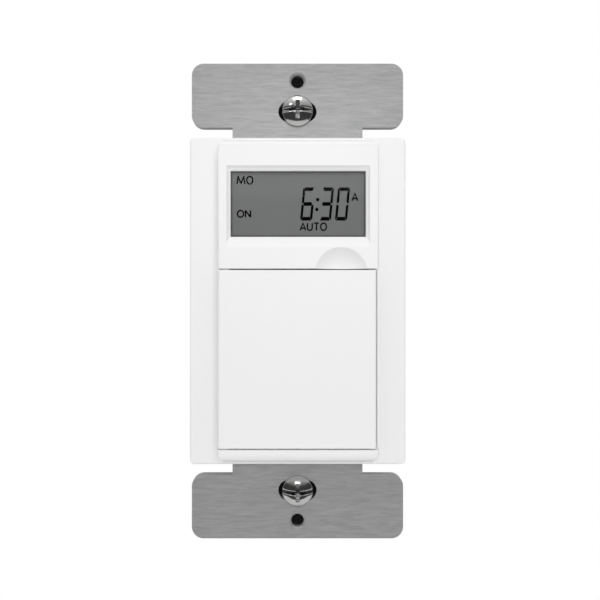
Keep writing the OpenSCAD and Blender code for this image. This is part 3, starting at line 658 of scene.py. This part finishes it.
def thread_rings():
    """Neck and rolled thread, down to the point."""
    rings = [(HEAD_BACK, NECK_R), (NECK_BACK + NECK_FALL, NECK_R), (NECK_BACK, ROOT_R)]
    count = int((THREAD_START - TIP_MARGIN - SCREW_TIP) / PITCH * PITCH_STEPS)
    for k in range(count + 1):
        level = THREAD_START - k * PITCH / PITCH_STEPS
        run_in = min(1.0, k / (PITCH_STEPS * RUN_IN_TURNS))
        run_out = min(1.0, max(0.0, (level - SCREW_TIP) / POINT))
        rings.append((level, thread_radius(level, run_in, run_out)))
    rings.append((SCREW_TIP, TIP_R))
    return rings


def thread_radius(level, run_in, run_out):
    """Radius of the thread at a level, as a function of the angle; it fades in and out at its ends."""
    def radius(angle):
        turn = (level / PITCH - angle / math.tau) % 1.0
        ridge = min(1.0, max(0.0, (1 - abs(turn - 0.5) * 2) * RIDGE_SLOPE - RIDGE_CUT))
        root = ROOT_R * (POINT_SHARE + (1 - POINT_SHARE) * run_out)
        return root + (CREST_R - ROOT_R) * ridge * run_in * run_out
    return radius


def both_sides(side):
    """A section in (up, level), followed by its mirror image below."""
    return side + [(-y, level) for y, level in side[::-1]]


def cross_cutter(centre):
    """Cutter of the cross recess along the slot, narrower towards its floor."""
    work = bmesh.new()
    corners = ((-1, -1), (1, -1), (1, 1), (-1, 1))
    rings = []
    for (wide, high), level in ((CROSS_LOW, CROSS_FLOOR), (CROSS_TOP, CUT_TOP)):
        rings.append([work.verts.new(on_panel(x * wide / 2, centre + y * high / 2, level))
                      for x, y in corners])
    skin(work, rings)
    return add_object("cross_wide", closed_mesh(work, "cross_wide"))


def slot_cutter(centre):
    """Cutter of the driver slot, rim to rim, with rounded lips that follow the dome."""
    work = bmesh.new()
    rings = []
    for k in range(SLOT_STEPS + 1):
        x = SLOT_REACH * (2 * k / SLOT_STEPS - 1)
        side = [(SLOT_HALF, SLOT_FLOOR)]
        for step in range(LIP_STEPS + 1):
            tilt = LIP_TILT * (1 - step / LIP_STEPS)
            y = SLOT_HALF + LIP_R * (math.sin(LIP_TILT) - math.sin(tilt))
            dome = dome_level(min(math.hypot(x, y), HEAD_R))
            side.append((y, dome - LIP_R * (1 - math.cos(tilt)) + LIP_RISE))
        side.append((side[-1][0], CUT_TOP))
        rings.append([work.verts.new(on_panel(x, centre + y, level)) for y, level in both_sides(side)])
    skin(work, rings)
    return add_object("driver_slot", closed_mesh(work, "driver_slot"))


def arm_cutter(centre):
    """Cutter of the upright arms of the cross recess, whose floors run up to the dome."""
    work = bmesh.new()
    end = dome_level(ARM_REACH) + ARM_RISE
    side = [(ARM_FOOT, ARM_FLOOR), (ARM_REACH, end), (ARM_REACH, CUT_TOP)]
    skin(work, [[work.verts.new(on_panel(x, centre + y, level)) for y, level in both_sides(side)]
                for x in (-ARM_HALF, ARM_HALF)])
    return add_object("cross_high", closed_mesh(work, "cross_high"))


def captive_screw(name, centre):
    """Pan head with a slot and a cross recess, plain neck and rolled thread."""
    work = bmesh.new()
    turned(work, head_rings(), centre)
    blank = add_object(name, closed_mesh(work, name))
    cutters = [slot_cutter(centre), cross_cutter(centre), arm_cutter(centre)]
    for cutter in cutters:
        cut = blank.modifiers.new(cutter.name, "BOOLEAN")
        cut.operation = "DIFFERENCE"
        cut.solver = "EXACT"
        cut.object = cutter
    soft_bevel(blank, EDGE, EDGE_ANGLE)
    mesh = settled_mesh(blank)
    for cutter in cutters:
        bpy.data.objects.remove(cutter)
    work = bmesh.new()
    work.from_mesh(mesh)
    shank = bmesh.new()
    turned(shank, thread_rings(), centre)
    extra = closed_mesh(shank, "shank")
    work.from_mesh(extra)
    bpy.data.meshes.remove(extra)
    # Faces deep in the driver recess take the darker second material, which is painted shade
    for face in work.faces:
        face.smooth = True
        face.material_index = int(in_recess(face, centre))
    work.to_mesh(mesh)
    work.free()
    mesh.set_sharp_from_angle(angle=CREASE_ANGLE)
    return mesh


def in_recess(face, centre):
    """Whether a face of the head lies below its dome and inside its rim."""
    spot = face.calc_center_median() / MM
    level, across = -spot.y, math.hypot(spot.x, spot.z - centre)
    if level < RECESS_BACK or across > RECESS_R:
        return False
    return level < dome_level(across) - RECESS_DEPTH


for node, body in (("mounting_screw_top", "top_screw"), ("mounting_screw_bottom", "bottom_screw")):
    low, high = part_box(node)
    centre = (low.z + high.z) / 2 / MM
    screw = new_piece(node.replace("mounting", "captive"), captive_screw(node, centre),
                      [finishes["screw_steel"], painted_shade_steel], body)
    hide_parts(node)

# Studio, in metres
FLOOR_DROP = 0.04
FLOOR_SIZE = 1.2
FLOOR_FRONT = -0.035

# Tones of the room from straight below to straight above, as light and as seen in reflections
LIGHT_TONES = [(0.0, 0.29), (0.5, 0.33), (1.0, 0.45)]
MIRROR_TONES = [(0.0, 0.7), (0.024, 0.66), (0.058, 0.06), (0.25, 0.05), (0.54, 0.04),
                (0.655, 0.05), (0.75, 0.24), (0.91, 0.52), (0.97, 0.8), (1.0, 0.9)]


def studio_floor():
    """Paper floor behind the front of the object, plain white to the camera."""
    work = bmesh.new()
    bmesh.ops.create_grid(work, x_segments=8, y_segments=8, size=FLOOR_SIZE / 2)
    mesh = bpy.data.meshes.new("studio_floor")
    work.to_mesh(mesh)
    work.free()
    floor = add_object("studio_floor", mesh)
    floor.location = (0.0, FLOOR_FRONT + FLOOR_SIZE / 2, cad_box[0].z - FLOOR_DROP)
    finish = Finish("floor_paper")
    path = finish.node("ShaderNodeLightPath", output="Is Camera Ray")
    fibre = finish.noise(finish.place(), 0.4, 3.0)
    paper = finish.surface({
        "Base Color": finish.mix(fibre, grey(0.9), grey(0.94)),
        "Roughness": 0.85})
    white = finish.node("ShaderNodeEmission", {}, {"Color": grey(1.0), "Strength": 1.0})
    mesh.materials.append(finish.close(
        finish.node("ShaderNodeMixShader", {}, {0: path, 1: paper, 2: white})))


def studio_world():
    """White to the camera, a soft light on the object, and a room with a dim front in reflections."""
    world = bpy.data.worlds.new("studio")
    bpy.context.scene.world = world
    world.use_nodes = True
    nodes = Nodes(world.node_tree)
    way = nodes.node("ShaderNodeTexCoord", output="Generated")
    depth = nodes.node("ShaderNodeSeparateXYZ", {}, {"Vector": way}, "Y")
    height = nodes.node("ShaderNodeSeparateXYZ", {}, {"Vector": way}, "Z")
    level = height * 0.5 + 0.5
    over = nodes.node("ShaderNodeValToRGB", {"stops": LIGHT_TONES}, {0: level})
    facing = (0.0 - depth).most(0.0)
    soft = nodes.mix(facing * facing * 0.8, over, grey(0.75))
    front = nodes.node("ShaderNodeValToRGB", {"stops": MIRROR_TONES}, {0: level})
    behind = nodes.node("ShaderNodeMapRange", {}, {
        "Value": depth, "From Min": -0.1, "From Max": 0.3})
    room = nodes.mix(behind, front, grey(0.8))
    mirrored = nodes.node("ShaderNodeLightPath", output="Is Glossy Ray")
    seen = nodes.node("ShaderNodeLightPath", output="Is Camera Ray").most(
        nodes.node("ShaderNodeLightPath", output="Is Transmission Ray"))
    tone = nodes.mix(seen, nodes.mix(mirrored, soft, room), grey(1.0))
    light = nodes.node("ShaderNodeBackground", {}, {"Color": tone, "Strength": 1.0})
    nodes.node("ShaderNodeOutputWorld", {}, {"Surface": light})


def softbox(name, place, size, power, aim=(0.0, 0.0, 0.0), lights=True, mirrored=True):
    """Rectangular soft light; it can be kept to reflections only, or kept out of them."""
    lamp = bpy.data.lights.new(name, "AREA")
    lamp.shape = "RECTANGLE"
    lamp.size, lamp.size_y = size
    lamp.energy = power
    box = add_object(name, lamp)
    box.visible_diffuse = lights
    box.visible_glossy = mirrored
    box.visible_camera = False
    box.location = place
    box.rotation_euler = (Vector(aim) - Vector(place)).to_track_quat("-Z", "Y").to_euler()


studio_floor()
studio_world()
softbox("front_softbox", (0.027, -0.45, 0.085), (0.24, 0.24), 1.045, mirrored=False)
softbox("top_softbox", (0.0, -0.07, 0.6), (0.28, 0.22), 0.5)
softbox("left_softbox", (-0.34, -0.34, 0.5), (0.12, 0.12), 0.12)
softbox("rear_softbox", (-0.225, 0.09, 0.48), (0.07, 0.07), 0.03)
softbox("low_softbox", (0.0, -0.165, 0.076), (0.095, 0.05), 0.03, aim=(0.0, 0.0, -0.042), lights=False)

# Camera at the photograph's distance and height, in millimetres and pixels
CAMERA_GAP = 115.0
FIELD = 132.04
STRAP_FRONT = 1.5
CENTRE_PIXEL = (286.9, 301.0)
CAMERA_X = -2.33
lens = bpy.data.cameras.new("photo_camera")
lens.sensor_width = 36.0
lens.lens = lens.sensor_width * CAMERA_GAP / FIELD
lens.shift_x = (IMAGE / 2 - CENTRE_PIXEL[0]) / IMAGE
lens.shift_y = (CENTRE_PIXEL[1] - IMAGE / 2) / IMAGE
lens.clip_start = 0.005
camera = add_object("photo_camera", lens)
camera.location = on_panel(CAMERA_X, 0.0, STRAP_FRONT + CAMERA_GAP)
camera.rotation_euler = (math.pi / 2, 0.0, 0.0)
bpy.context.scene.camera = camera
bpy.context.scene.view_settings.view_transform = "Standard"

bpy.context.view_layer.update()
